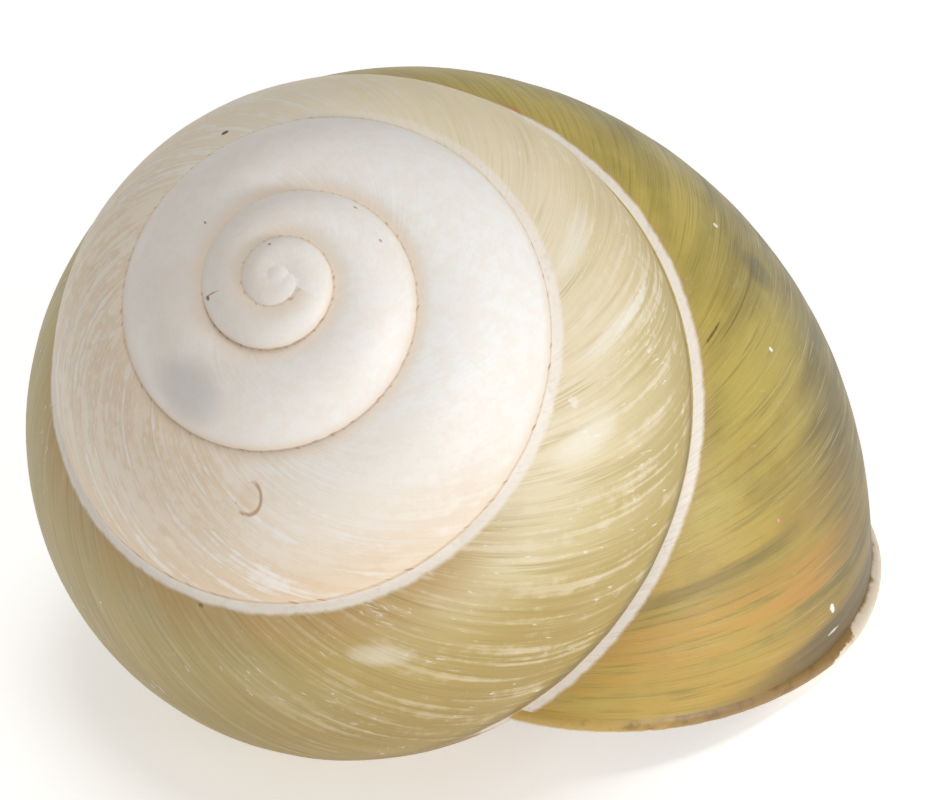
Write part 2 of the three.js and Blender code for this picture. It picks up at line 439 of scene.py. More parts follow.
def lipGroup(pointTree):  # the rounded bead along the mouth's edge, from the suture to the columella
    board, given = newGroup("lipBead", {
        "Steps": ("NodeSocketInt", lip["steps"]),
        "Sides": ("NodeSocketInt", lip["sides"]),
    }, {"Mesh": "NodeSocketGeometry"})
    steps = given["Steps"]
    sides = given["Sides"]
    mesh, row, column = gridOf(board, steps + 3, sides + 1)
    share = clamped(board, (row - 1) / steps)

    def edgePoint(turn, shareNow):
        angle = shareNow * (lip["end"] - lip["start"]) + lip["start"]
        turned = angle + board.over(-quarter, angle) * fullTurn
        return board.node("GeometryNodeGroup", {"node_tree": pointTree}, {
            "Turn": turn, "Angle": turned, "Lower": board.over(turned, math.pi), "Relief": 0.0})["Point"]

    step = lip["ahead"]
    point = edgePoint(mouth["lastTurn"], share)
    ahead = edgePoint(mouth["lastTurn"], share + step)
    behind = edgePoint(mouth["lastTurn"], share - step)
    way = board.vectorMath("NORMALIZE", board.vectorMath("SUBTRACT", ahead, behind))
    onward = board.vectorMath("SUBTRACT", point, edgePoint(mouth["lastTurn"] - step, share))
    sideways = board.scaled(way, board.vectorMath("DOT_PRODUCT", onward, way, out="Value"))
    grow = board.vectorMath("NORMALIZE", board.vectorMath("SUBTRACT", onward, sideways))
    outward = board.vectorMath("CROSS_PRODUCT", grow, way)
    start, full, ends, gone, more = lip["turnedOut"]
    width = (along(curveThrough([0, 0.5, 1], lip["widths"]), share)
             + board.smoothStep(share, start, full) * board.smoothStep(share, gone, ends) * more)
    turnRound = column / sides * fullTurn
    body = 1 - board.higher(board.over(0.5, row), board.over(row, steps + 1.5))
    outBy = board.scaled(outward, width * board.cos(turnRound) * body - mouth["wall"] / 2)
    growBy = board.scaled(grow, (board.sin(turnRound) * body - 0.5) * lip["thickness"])
    place = board.vectorMath("ADD", point, board.vectorMath("ADD", outBy, growBy))
    whorl = board.vector(share, turnRound)
    return endGroup(board, [bentGrid(board, mesh, place, whorl, float(parts["lip"]))])


def stretchPlan():  # first turn, last turn and rings of every stretch
    plan = []
    first = growth["tipTurn"]
    for last in tube["ends"]:
        spacing = 1 / (tube["coarse"] if last < tube["fineFrom"] else tube["fine"])
        plan.append((first, last, round((last - first) / spacing)))
        first = last - spacing
    return plan


def shellGroup():
    board, given = newGroup("landSnailShell", {
        "Growth Relief": ("NodeSocketFloat", relief["height"]),
        "Outer Steps": ("NodeSocketInt", tube["outerSteps"]),
        "Inner Steps": ("NodeSocketInt", tube["innerSteps"]),
        **{finish: ("NodeSocketMaterial", None) for finish in ("Skin Finish", "Room Finish", "Lip Finish")},
    }, {"Mesh": "NodeSocketGeometry"})
    points = pointGroup()
    stretches = stretchGroup(points)

    def stretch(first, last, rings, isRoom):
        return board.node("GeometryNodeGroup", {"node_tree": stretches}, {
            "First Turn": first, "Last Turn": last, "Rings": rings, "Room": float(isRoom),
            "Outer Steps": room["outerSteps"] if isRoom else given["Outer Steps"],
            "Inner Steps": room["innerSteps"] if isRoom else given["Inner Steps"],
            "Relief": given["Growth Relief"]})[0]

    def lathed():  # core of the columella with its rounded foot, and the dome of the first whorl
        height = columella["top"] - columella["foot"]
        cone = board.node("GeometryNodeMeshCone", None, {
            "Vertices": columella["sides"], "Radius Top": columella["topRadius"],
            "Radius Bottom": columella["footRadius"], "Depth": height})["Mesh"]
        ball = board.node("GeometryNodeMeshUVSphere", None, {
            "Segments": columella["sides"], "Rings": columella["ballRings"], "Radius": 1.0})["Mesh"]

        def put(mesh, place, size=(1, 1, 1)):
            return board.node("GeometryNodeTransform", None,
                              {"Geometry": mesh, "Translation": place, "Scale": size})[0]

        def glazed(mesh):  # finished as the front of the lip
            mapped = board.stored(mesh, "FLOAT2", "CORNER", "whorl", (1, quarter, 0))
            return board.stored(mapped, "FLOAT", "FACE", "part", float(parts["lip"]))

        foot = columella["footRadius"]
        tip = nucleus["radius"]
        return joined(glazed(put(cone, (0, 0, columella["foot"]))),
                      glazed(put(ball, (0, 0, columella["foot"]), (foot, foot, columella["footDepth"]))),
                      put(ball, (0, 0, -nucleus["depth"]), (tip, tip, nucleus["height"])))

    def joined(*meshes):
        return board.node("GeometryNodeMeshBoolean", {"operation": "UNION", "solver": "MANIFOLD"},
                          {"Mesh 2": list(meshes)})[0]

    def cut(mesh, cutter):
        return board.node("GeometryNodeMeshBoolean", {"operation": "DIFFERENCE", "solver": "MANIFOLD"},
                          {"Mesh 1": mesh, "Mesh 2": cutter})[0]

    above = lathed()
    outside = above
    hollow = None
    for first, last, rings in stretchPlan():
        if last > room["from"]:
            roomLast = last + (mouth["overrun"] if last == mouth["lastTurn"] else 0)
            roomRings = round((roomLast - first) * room["ringsATurn"])
            hollowNow = cut(stretch(first, roomLast, roomRings, True), above)
            hollow = joined(hollow, hollowNow) if hollow else hollowNow
        above = outside
        outside = joined(outside, stretch(first, last, rings, False))
    bead = board.node("GeometryNodeGroup", {"node_tree": lipGroup(points)}, [])[0]
    whole = joined(cut(outside, hollow), bead)
    smooth = board.node("GeometryNodeSetShadeSmooth", None, [whole, True, True])[0]
    bend = board.node("GeometryNodeInputMeshEdgeAngle")[0]
    creased = board.node("GeometryNodeSetShadeSmooth", {"domain": "EDGE"},
                         [smooth, True, board.over(tube["sharpFrom"], bend)])[0]
    finished = board.node("GeometryNodeRealizeInstances", None, [creased])[0]
    part = board.node("GeometryNodeInputNamedAttribute", {"data_type": "FLOAT"}, {"Name": "part"})[0]
    for finish, number in (("Skin Finish", parts["skin"]), ("Room Finish", parts["room"]),
                           ("Lip Finish", parts["lip"])):
        isPart = board.over(part, number - 0.5)
        finished = board.node("GeometryNodeSetMaterial", None, [finished, isPart, given[finish]])[0]
    return endGroup(board, [finished])


# Where each whorl meets the one before, and lengths along the tube, for the markings

def skinPoints(turn, angles):  # a slice of the tube, on plain numbers
    lower = np.zeros_like(angles)
    distance, height = outline(Plain(), np.full_like(angles, float(turn)), angles, lower, 0.0, growth["bore"])
    return np.stack([distance, height], -1)


tracing = {
    "tries": 500,
    "upper": (0.5, 2.6),  # angles that are tried on a whorl, and on the one before
    "under": (-0.9, 1.2),
    "turns": (1.2, 5, 77),  # first, last and how many
    "lengthTurns": (0, 5.1, 400),
    "degree": 5,
    "lengthDegree": 6,
}


def meetingAngles(turn):  # on this whorl and on the one before
    upper = np.linspace(*tracing["upper"], tracing["tries"])
    under = np.linspace(*tracing["under"], tracing["tries"])
    gaps = skinPoints(turn, upper)[:, None] - skinPoints(turn - 1, under)[None]
    nearest = np.argmin(np.sum(gaps ** 2, -1))
    return upper[nearest // tracing["tries"]], under[nearest % tracing["tries"]]


def markedLines():
    turns = np.linspace(*tracing["turns"])
    meets = np.array([meetingAngles(turn) for turn in turns])
    steps = np.linspace(*tracing["lengthTurns"])
    radii = np.exp(np.polyval(radiusCurve, steps))
    stepLengths = fullTurn * (radii[1:] + radii[:-1]) / 2 * np.diff(steps)
    lengths = np.concatenate([[0], np.cumsum(stepLengths)])
    sutureAt = np.polyfit(turns, meets[:, 0], tracing["degree"])
    coverAt = np.polyfit(turns - 1, meets[:, 1], tracing["degree"])
    lengthAt = np.polyfit(steps, lengths, tracing["lengthDegree"])
    return [[float(each) for each in curve] for curve in (sutureAt, coverAt, lengthAt)]


sutureLine, coverLine, lengthLine = markedLines()


# Finishes, in linear colour

colours = {
    "white": (0.92, 0.90, 0.86),
    # a warm grey, laid as painted shade on one side of the tip and as fine speckles
    "shaded": (0.82, 0.735, 0.655),
    "warm": (0.84, 0.68, 0.51),
    "band": (0.89, 0.82, 0.73),
    "bandGrey": (0.74, 0.67, 0.58),
    "cream": (0.83, 0.73, 0.54),
    "peach": (0.74, 0.53, 0.31),
    "tan": (0.46, 0.25, 0.11),
    "ochre": (0.52, 0.33, 0.12),
    "straw": (0.66, 0.52, 0.23),
    "olive": (0.46, 0.35, 0.12),
    "greyOlive": (0.47, 0.40, 0.22),
    "darkOlive": (0.13, 0.105, 0.03),
    "gold": (0.58, 0.36, 0.07),
    "orange": (0.60, 0.29, 0.065),
    "dark": (0.12, 0.08, 0.035),
    "brown": (0.20, 0.105, 0.04),
    "umber": (0.27, 0.165, 0.03),
    "callus": (0.72, 0.64, 0.52),
    "room": (0.74, 0.69, 0.60),
    "roomShade": (0.66, 0.58, 0.46),
    "lipCream": (0.84, 0.76, 0.62),
    "lipShade": (0.66, 0.53, 0.37),
    "horn": (0.54, 0.36, 0.09),
    "dullHorn": (0.30, 0.18, 0.055),
    "hornSpeck": (0.17, 0.085, 0.03),
    "floor": (0.9, 0.9, 0.9),
}
skin = {
    "ages": [  # colour of the skin by the turn that grew it
        (0.0, (0.90, 0.865, 0.83)), (0.9, (0.90, 0.865, 0.82)), (2.9, (0.93, 0.915, 0.885)),
        (3.03, (0.91, 0.86, 0.79)), (3.15, (0.86, 0.73, 0.57)), (3.3, (0.88, 0.80, 0.68)),
        (3.5, (0.87, 0.77, 0.61)), (3.65, (0.85, 0.73, 0.50)), (3.85, (0.74, 0.62, 0.37)),
        (3.98, (0.61, 0.49, 0.22)), (4.08, (0.48, 0.345, 0.10)), (4.2, (0.45, 0.34, 0.115)),
        (4.5, (0.52, 0.42, 0.165)), (4.68, (0.54, 0.42, 0.095)), (4.84, (0.49, 0.385, 0.085)),
        (4.92, (0.49, 0.36, 0.075)), (5.0, (0.50, 0.335, 0.065))],
    "zonesMoveAge": 0.22,  # in turns
    "broadMovesAge": 0.18,
    "lateFrom": (2.7, 3.3),  # turns over which growth lines begin to show
    "arcs": (0.6, 0.47, 0.62),  # length of a radian to the radius: at the side, the suture, the cover
    # growth lines: spacing and reach in mm, detail, shift, slant
    "fine": (0.15, 4.0, 3.0),
    "lines": (0.5, 6.0, 3.0),
    "broad": (1.7, 9.0, 2.0),
    "zones": (5.5, 12.0, 1.0, 7.0),
    "scuffs": (0.28, 1.1, 3.0, 3.0, 0.4),
    "nicks": (0.2, 0.9, 2.0, 9.0, -0.25),
    # blotches: how many to a mm, detail, roughness
    "mottle": (0.4, 5.0, 0.5),
    "blotch": (1.1, 3.0, 0.6),
    "grain": (3.5, 4.0, 0.6),
    "speckle": (9.0, 2.0, 0.6),
    "dullFrom": 0.32,  # where the painted shade on one side of the tip is deepest, in turns
    "innerSutureFrom": 0.35,
    "outerSutureFrom": 0.9,
    "bandEnd": (0.78, 0.48),  # where the white band ends below the suture, in mm
    "bandFrom": (3.45, 3.8),
    "dirt": (0.6, 3.0, 4.0),  # spacing along the suture in mm, row, detail
    "glaze": {"turn": 4.02, "angle": -0.454, "lean": 0.08, "reach": 1.117},  # its end at the mouth
    "bump": 0.05,
    "roughness": 0.52,
}
marks = {  # turn, angle, half length and half height in mm, follows growth lines, colour, strength
    "chip in the suture": (3.498, 64.7, 0.30, 0.14, 0, (0.09, 0.05, 0.02), 0.9),
    "crack on the first whorl": (1.290, 44, 0.05, 0.75, 0, (0.30, 0.16, 0.07), 0.7),
    "its dark end": (1.286, 34, 0.16, 0.22, 0, (0.18, 0.08, 0.025), 0.85),
    "speck by the tip": (0.53, 52, 0.10, 0.09, 0, (0.26, 0.13, 0.05), 0.8),
    "speck right of the tip": (1.68, 33, 0.12, 0.10, 0, (0.26, 0.13, 0.05), 0.7),
    "speck in the first suture": (1.75, 43, 0.13, 0.12, 0, (0.40, 0.28, 0.18), 0.7),
    "grey speck above the tip": (2.43, 86, 0.12, 0.11, 0, (0.20, 0.18, 0.17), 0.75),
    # partly a grey smudge and partly painted shade, soft, on the whorl left below the tip
    "grey smudge and painted shade left below the tip": (2.19, 50, 2.9, 2.3, 0, (0.44, 0.42, 0.42), 0.40),
    "thick end of the growth break": (4.787, 48, 0.14, 0.9, 1, (0.14, 0.09, 0.02), 0.85),
    "growth break": (4.768, 33, 0.09, 3.2, 1, (0.16, 0.12, 0.035), 0.7),
    "smudge at the growth break": (4.751, 20.5, 1.5, 1.3, 0, (0.07, 0.065, 0.035), 0.49),
    "white speck": (4.788, 29, 0.15, 0.15, 0, (0.92, 0.9, 0.84), 1.0),
    "lower white speck": (4.731, 27, 0.18, 0.18, 0, (0.88, 0.84, 0.72), 0.9),
    "red spot in the suture": (4.640, 50, 0.8, 0.6, 0, (0.62, 0.15, 0.03), 0.8),
    "pink dot": (4.856, 30, 0.10, 0.10, 0, (0.9, 0.3, 0.42), 0.9),
    # pale patches on the fourth whorl
    "pale patch": (3.795, 26, 0.40, 1.6, 1, (0.88, 0.84, 0.74), 0.7),
    "pale patch above it": (3.815, 38, 0.8, 2.2, 1, (0.92, 0.88, 0.79), 0.49),
    "pale patch by the band": (3.862, 50, 0.35, 0.35, 0, (0.88, 0.84, 0.74), 0.6),
    "highest pale patch": (3.763, 47, 1.2, 2.2, 1, (0.90, 0.86, 0.76), 0.49),
    "wide pale patch": (3.877, 41, 1.8, 1.6, 1, (0.90, 0.86, 0.76), 0.49),
    "low pale patch": (4.04, 33, 1.6, 1.0, 1, (0.86, 0.80, 0.66), 0.45),
    "brown speck under the band": (4.138, 49, 0.2, 0.16, 0, (0.20, 0.10, 0.035), 0.8),
    # painted highlight: two white marks by the lip stand in for a glint on the ridge behind it
    "painted glint by the lip": (4.871, 4.5, 0.24, 0.26, 0, (0.93, 0.91, 0.87), 1.0),
    "painted glint streak by the lip": (4.877, 1.5, 0.10, 0.45, 1, (0.88, 0.84, 0.77), 0.7),
}
markEdge = {"end": 1.3, "core": 0.45, "ragged": 2.2, "softBelow": 0.5, "arc": 0.55}
ringMark = {"turn": 3.101, "angle": 62.5, "radius": 0.95, "width": 0.16, "arc": 0.5}


def newFinish(name):
    material = bpy.data.materials.new(name)
    material.use_nodes = True
    material.node_tree.nodes.clear()
    return material, Board(material.node_tree)


def endFinish(board, inputs):
    shader = board.node("ShaderNodeBsdfPrincipled", None, inputs)["BSDF"]
    board.node("ShaderNodeOutputMaterial", None, {"Surface": shader})


def bumpNormal(board, height, depth, strength=1.0):  # depth in mm
    return board.node("ShaderNodeBump", None, {
        "Strength": strength, "Distance": depth * mm, "Height": height})["Normal"]


def placeInMm(board):
    return board.scaled(board.node("ShaderNodeTexCoord")["Object"], 1 / mm)


def whorlMap(board):
    split = board.node("ShaderNodeSeparateXYZ", None,
                       [board.node("ShaderNodeUVMap", {"uv_map": "whorl"})[0]])
    return split[0], split[1]


def turnAndAngle(board):  # the angle runs on through the base, from 90 degrees down to -180
    turn, angle = whorlMap(board)
    return turn, angle - board.over(angle, math.pi + 0.01) * fullTurn


def radiusAt(turn):
    return float(np.exp(np.polyval(radiusCurve, turn)))


class SkinPattern:  # places in mm, streaks and blotches on the skin, and the colour so far
    def __init__(self, board):
        sideArc, sutureArc, coverArc = skin["arcs"]
        turn, angle = turnAndAngle(board)
        radius = board.power(along(radiusCurve, turn))
        self.board = board
        self.turn = turn
        self.angle = angle
        self.grown = growthTurn(board, turn, angle)
        self.length = along(lengthLine, self.grown)
        self.across = angle * radius * sideArc
        self.belowSuture = (along(sutureLine, turn) - angle) * radius * sutureArc
        self.aboveCover = (angle - along(coverLine, turn)) * radius * coverArc
        self.toEdge = (mouth["lastTurn"] - self.grown) * fullTurn * radius  # along the tube
        self.fine = self.streaks(*skin["fine"])
        self.lines = self.streaks(*skin["lines"])
        self.broad = self.streaks(*skin["broad"])
        self.zones = self.streaks(*skin["zones"])
        self.place = placeInMm(board)
        self.mottle = self.blotches(*skin["mottle"])
        self.blotch = self.blotches(*skin["blotch"])
        self.grain = self.blotches(*skin["grain"])
        self.late = self.step(turn, *skin["lateFrom"])
        # painted shade towards the outer rim of a whorl
        self.paintedRimShade = self.step(angle + (self.broad - 0.5) * 0.3, 0.42, 0.0)
        self.reach = self.step(angle, 0.8, 0.0)  # down towards the right side
        self.isPastTip = board.over(turn, skin["innerSutureFrom"])
        self.colour = self.byAge()

    def byAge(self):  # base colour, which the growth lines shift a little
        last = mouth["lastTurn"]
        shift = (self.zones - 0.5) * skin["zonesMoveAge"] + (self.broad - 0.5) * skin["broadMovesAge"]
        return self.board.ramp((self.grown + shift * self.late) / last,
                               [(turn / last, tone) for turn, tone in skin["ages"]])

    def step(self, value, low, high):
        return self.board.smoothStep(value, low, high)

    def during(self, first, last, soft=0.08):  # 1 between two turns
        begun = self.step(self.turn, first - soft, first + soft)
        return begun * self.step(self.turn, last + soft, last - soft)

    def streaks(self, spacing, reach, detail, shift=0.0, slant=0.0):
        return self.board.noise(self.board.vector((self.length + self.across * slant) / spacing + shift,
                                                  (self.across - self.length * slant) / reach), detail)

    def blotches(self, count, detail, roughness):
        return self.board.noise(self.board.scaled(self.place, count), detail, roughness, "3D")

    def lay(self, share, tone):
        self.colour = self.board.mix(share, self.colour, colours[tone])


# The functions below lay their colours on s, the pattern of the skin, from the tip on

def layFirstWhorls(s):  # smooth, with painted shade on one side of the tip, and faintly blotched
    # painted shade, deepest on one side of the tip and fading on later whorls
    paintedShade = (s.board.cos((s.turn - skin["dullFrom"]) * fullTurn) * 0.5 + 0.5) * (1 - s.late)
    s.lay(paintedShade * (0.2 + s.mottle * 0.75), "shaded")
    stain = s.step(s.blotch * 0.6 + s.grain * 0.4 + s.fine * 0.12, 0.46, 0.66)
    s.lay(stain * s.step(s.turn, 3.6, 3.0) * 0.2, "warm")
    speckle = s.step(s.blotches(*skin["speckle"]), 0.52, 0.70)
    s.lay(speckle * s.step(s.turn, 4.2, 3.4) * 0.16, "shaded")


def layThirdWhorl(s):  # tan streaks, which leave its inner side and first part white
    nearCover = s.step(s.aboveCover, 6.5, 1.0)
    tanPart = s.during(2.98, 3.46, 0.10) * either(s.step(s.turn, 3.04, 3.16), 1.0, nearCover)
    tanStreak = s.step(s.lines * 0.4 + s.broad * 0.6 + s.blotch * 0.5, 0.66, 0.86)
    s.lay(tanStreak * tanPart * 0.9, "peach")
    tanSide = s.step(s.aboveCover + (s.broad - 0.5) * 3, 4.5, 0.5)
    s.lay(tanSide * s.during(3.02, 3.4) * 0.55, "peach")
    worn = s.step(s.fine * 0.12 + s.lines * 0.38 + s.broad * 0.5 + s.blotch * 0.35, 0.66, 0.82)
    s.lay(worn * s.during(3.0, 3.62) * 0.75, "white")


def layFourthWhorl(s):  # creamy beside the suture and olive outside, ochre where it turns under
    s.lay(s.step(s.aboveCover, 10.0, 1.0) * s.during(3.72, 4.16) * 0.85, "olive")
    s.lay(s.step(s.belowSuture, 6.0, 1.5) * s.during(3.6, 4.0) * 0.55, "cream")
    s.lay(s.step(s.belowSuture, 3.4, 0.8) * s.during(3.96, 4.3, 0.05) * 0.8, "ochre")
    greyed = s.step(s.mottle * 0.6 + s.zones * 0.5, 0.5, 0.68)
    s.lay(greyed * s.during(4.12, 4.62) * 0.4, "greyOlive")
    rounded = s.step(s.angle + (s.broad - 0.5) * 0.4, 0.55, -0.1)
    s.lay(rounded * s.during(3.95, 4.4) * 0.5, "umber")


def layScuffs(s):  # growth lines of the fourth whorl, and the scuffs on it
    paleStreak = s.step(s.lines * 0.45 + s.broad * 0.45 + s.blotch * 0.4, 0.66, 0.82)
    s.lay(paleStreak * (s.during(3.55, 3.92, 0.12) * 0.6 + s.during(3.9, 4.1) * 0.25), "cream")
    paleLine = s.step(s.lines * 0.6 + s.fine * 0.3 + s.mottle * 0.3, 0.60, 0.80)
    s.lay(paleLine * (s.during(3.6, 4.0, 0.12) * 0.2 + s.during(3.7, 4.6, 0.12) * 0.14), "cream")
    dimStreak = s.step(s.fine * 0.25 + s.lines * 0.4 + s.broad * 0.55, 0.57, 0.40)
    s.lay(dimStreak * s.during(3.7, 4.6, 0.15) * 0.6, "olive")
    scuffs = s.step(s.streaks(*skin["scuffs"]) * 0.55 + s.mottle * 0.35 + s.blotch * 0.3, 0.74, 0.80)
    nicks = s.step(s.streaks(*skin["nicks"]) * 0.5 + s.mottle * 0.3 + s.zones * 0.3, 0.71, 0.76)
    where = s.during(3.62, 4.45, 0.12) + s.step(s.turn, 4.6, 4.75) * 0.25
    s.lay(s.board.higher(scuffs, nicks) * where * 0.55, "white")
    # painted shade in the crease where the fourth whorl turns under the next one
    paintedCreaseShade = s.step(s.aboveCover, 1.7, 0.0) * s.during(3.6, 4.05)
    s.lay(paintedCreaseShade * 0.7, "darkOlive")


def layLastWhorl(s):  # dark growth lines, gathered in zones towards its outside
    body = s.step(s.turn, 4.5, 4.7)
    outer = s.step(s.angle, 0.75, 0.0)
    cloud = s.step(s.zones * 0.7 + s.mottle * 0.4, 0.48, 0.66)
    s.lay(cloud * body * 0.25, "darkOlive")
    # painted shade along the last whorl's outer rim
    paintedRimShadeShare = s.paintedRimShade * (s.during(4.77, 4.85, 0.05) * 0.3 + 0.25)
    s.lay((outer * 0.3 + paintedRimShadeShare) * body, "darkOlive")
    fineDark = s.step(s.fine * 0.45 + s.lines * 0.6, 0.50, 0.36)
    s.lay(fineDark * (body * 0.32 + s.during(3.95, 4.5, 0.15) * 0.2), "darkOlive")
    darkZone = s.step(s.zones * 0.6 + outer * 0.35, 0.34, 0.66)
    darkStreak = s.step(s.fine * 0.25 + s.lines * 0.45 + s.broad * 0.5, 0.50, 0.76)
    s.lay(darkStreak * darkZone * body * 0.85, "darkOlive")
    strawLine = s.step(s.lines * 0.55 + s.fine * 0.65 - s.broad * 0.2, 0.56, 0.72)
    s.lay(strawLine * body * (outer * 0.45 + 0.12), "straw")


def layMouthBands(s):  # gold, orange, an olive line and at the right a dark band
    wander = (s.lines - 0.5) * 1.4 + (s.broad - 0.5) * 2.5
    gold = s.step(s.toEdge + wander * 2, 17.0, 8.0) * s.step(s.lines * 0.5 + s.broad * 0.6, 0.40, 0.62)
    s.lay(gold * 0.5, "gold")
    streaked = s.step(s.lines * 0.5 + s.broad * 0.35 + s.mottle * 0.3, 0.44, 0.64)
    orange = s.step(s.toEdge + wander, 5.0, 6.6) * s.step(s.toEdge + wander, 9.8, 8.2) * streaked
    # the orange is held back where the rim's painted shade lies
    s.lay(orange * (0.3 + s.reach * 0.5) * (1 - s.paintedRimShade * 0.8), "orange")
    toLine = s.toEdge + wander * 0.4
    oliveLine = s.step(toLine, 9.9, 10.6) * s.step(toLine, 12.0, 11.2) * (1 - s.reach)
    s.lay(oliveLine * 0.45, "darkOlive")
    # painted shade along the right edge of the last whorl, near the mouth
    paintedEdgeShade = s.step(s.angle + (s.lines - 0.5) * 0.3, 0.36, 0.0) * s.during(4.79, 4.865, 0.03)
    s.lay(paintedEdgeShade * 0.5, "darkOlive")
    darkBand = s.step(s.toEdge + wander * 0.8 - s.reach * 2.6, 1.8, 0.0) * s.reach
    s.lay(darkBand * 0.8, "dark")


def mouthEdge(s):  # share of the brown edge, wider at the right
    strays = (s.grain - 0.5) * 1.2 + (s.lines - 0.5) * 0.6
    return s.step(s.toEdge + strays, 0.7 + s.reach * 0.4, 0.2)


def markGroup():  # one mark laid over the colour so far, ragged or soft
    board, given = newGroup("mark", {
        "Turn": ("NodeSocketFloat", 0.0),
        "Angle": ("NodeSocketFloat", 0.0),
        "Ragged": ("NodeSocketFloat", 0.0),
        "Colour": ("NodeSocketColor", None),
        "Home": ("NodeSocketFloat", 0.0),
        "At": ("NodeSocketFloat", 0.0),
        "Along": ("NodeSocketFloat", 1.0),
        "Across": ("NodeSocketFloat", 1.0),
        "Core": ("NodeSocketFloat", markEdge["core"]),
        "Tone": ("NodeSocketColor", None),
        "Strength": ("NodeSocketFloat", 1.0),
    }, {"Colour": "NodeSocketColor"}, "ShaderNodeTree")
    x = (given["Turn"] - given["Home"]) * given["Along"]
    y = (given["Angle"] - given["At"]) * given["Across"]
    inside = board.smoothStep(x * x + y * y + given["Ragged"], markEdge["end"], given["Core"])
    return endGroup(board, [board.mix(inside * given["Strength"], given["Colour"], given["Tone"])])


def layMarks(s):
    markTree = markGroup()
    ragged = (s.grain - 0.5) * markEdge["ragged"]
    for turn, degrees, long, tall, follows, tone, strength in marks.values():
        at = math.radians(degrees)
        isSoft = strength < markEdge["softBelow"]
        s.colour = s.board.node("ShaderNodeGroup", {"node_tree": markTree}, {
            "Turn": s.grown if follows else s.turn,
            "Angle": s.angle,
            "Ragged": 0.0 if isSoft else ragged,
            "Colour": s.colour,
            "Home": float(growthTurn(Plain(), turn, at)) if follows else turn,
            "At": at,
            "Along": fullTurn * radiusAt(turn) / long,
            "Across": markEdge["arc"] * radiusAt(turn) / tall,
            "Core": 0.0 if isSoft else markEdge["core"],
            "Tone": tone,
            "Strength": strength})["Colour"]


def layRing(s):  # a faint tan disc with a broken line round it
    size = radiusAt(ringMark["turn"])
    x = (s.turn - ringMark["turn"]) * (fullTurn * size)
    y = (s.angle - math.radians(ringMark["angle"])) * (ringMark["arc"] * size)
    off = s.board.root(x * x + y * y) - ringMark["radius"]
    s.lay(s.step(off, 0.1, -0.5) * 0.3, "peach")
    ring = s.step(off * off, ringMark["width"] ** 2, 0.0) * s.step(s.grain - x * 0.3 - y * 0.1, 0.3, 0.6)
    s.lay(ring * 0.75, "tan")


def laySuture(s):  # white band under the suture, and the fine dirty line of the suture itself
    board = s.board
    s.lay(s.step(s.belowSuture, 1.5, 0.7) * s.step(s.turn, 4.2, 4.6) * 0.35, "ochre")
    below = s.step(s.belowSuture, -0.02, 0.03)
    band = below * s.step(s.belowSuture + (s.blotch - 0.5) * 0.3, *skin["bandEnd"])
    stained = s.step(s.blotch * 0.4 + s.grain * 0.6, 0.52, 0.66)
    bandTone = board.mix(stained * 0.5, colours["band"], colours["bandGrey"])
    s.colour = board.mix(band * s.step(s.turn, *skin["bandFrom"]) * 0.95, s.colour, bandTone)

    isOuter = board.over(s.turn, skin["outerSutureFrom"])
    # painted shade: warm darkening within about a mm either side of the suture, on the spire
    paintedSutureShade = board.higher(s.step(s.aboveCover, 1.0, 0.0), s.step(s.belowSuture, 1.1, 0.1) * isOuter)
    s.lay(paintedSutureShade * s.isPastTip * s.step(s.turn, 3.5, 3.1) * 0.55, "warm")
    spacing, row, detail = skin["dirt"]
    dirt = board.noise(board.vector(s.length / spacing, row), detail)
    strays = (dirt - 0.5) * 0.2
    outerThin = s.step(s.belowSuture - strays, 0.12, 0.03) * isOuter * s.step(s.turn, 3.8, 3.5)
    innerThin = s.step(s.aboveCover - strays, 0.15, 0.05) * s.step(s.turn, 4.1, 4.0)
    thin = board.higher(innerThin, outerThin * 0.6) * s.isPastTip
    s.lay(thin * (0.28 + s.step(dirt, 0.50, 0.68) * 0.62), "tan")


def glazeShare(s):  # what the next whorl covers has a glaze, which ends across the mouth
    glaze = skin["glaze"]
    pastAngle = clamped(s.board, (glaze["angle"] - s.angle) / glaze["reach"]) * glaze["reach"]
    limit = glaze["turn"] - pastAngle * glaze["lean"] + (s.blotch - 0.5) * 0.02
    return s.step(s.aboveCover, -0.2, -0.3) * s.step(s.turn - limit, 0.006, -0.006) * s.isPastTip


def skinFinish():
    material, board = newFinish("grownSkin")
    s = SkinPattern(board)
    layFirstWhorls(s)
    layThirdWhorl(s)
    layFourthWhorl(s)
    layScuffs(s)
    layLastWhorl(s)
    layMouthBands(s)
    edge = mouthEdge(s)
    s.lay(edge * 0.75, "brown")
    layMarks(s)
    layRing(s)
    laySuture(s)
    covered = glazeShare(s)
    s.lay(covered * 0.85, "callus")

    growthLines = s.fine * 0.35 + s.lines * 0.8 + s.broad * 0.7
    height = growthLines * (0.35 + s.late * 0.65) + s.grain * 0.2 - edge * 0.6
    roughness = (skin["roughness"] - s.step(s.turn, 3.6, 4.6) * 0.08 + (s.mottle - 0.5) * 0.2
                 - covered * 0.2)
    endFinish(board, {"Base Color": s.colour, "Roughness": roughness,
                      "Normal": bumpNormal(board, height, skin["bump"])})
    return material


innerWall = {"spacing": 0.8, "slant": 0.8, "roughness": 0.3, "bump": 0.03, "bumpStrength": 0.4}
lipSkin = {
    "mottle": (1.2, 4.0),  # how many to a mm, detail
    "turnedOut": (0.29, 0.35),  # shares of the way round the mouth
    "dulled": (0.10, 0.20),
    "skinEnds": (0.75, 0.55),
    "front": -0.35,
    "roughness": 0.34,
    "bump": 0.08,
    "bumpStrength": 0.8,
}


def roomFinish():
    material, board = newFinish("innerWall")
    turn, angle = turnAndAngle(board)
    length = along(lengthLine, growthTurn(board, turn, angle))
    lines = board.noise(board.vector(length / innerWall["spacing"], angle * innerWall["slant"]))
    endFinish(board, {
        "Base Color": board.mix(lines, colours["roomShade"], colours["room"]),
        "Roughness": innerWall["roughness"],
        "Normal": bumpNormal(board, lines, innerWall["bump"], innerWall["bumpStrength"])})
    return material


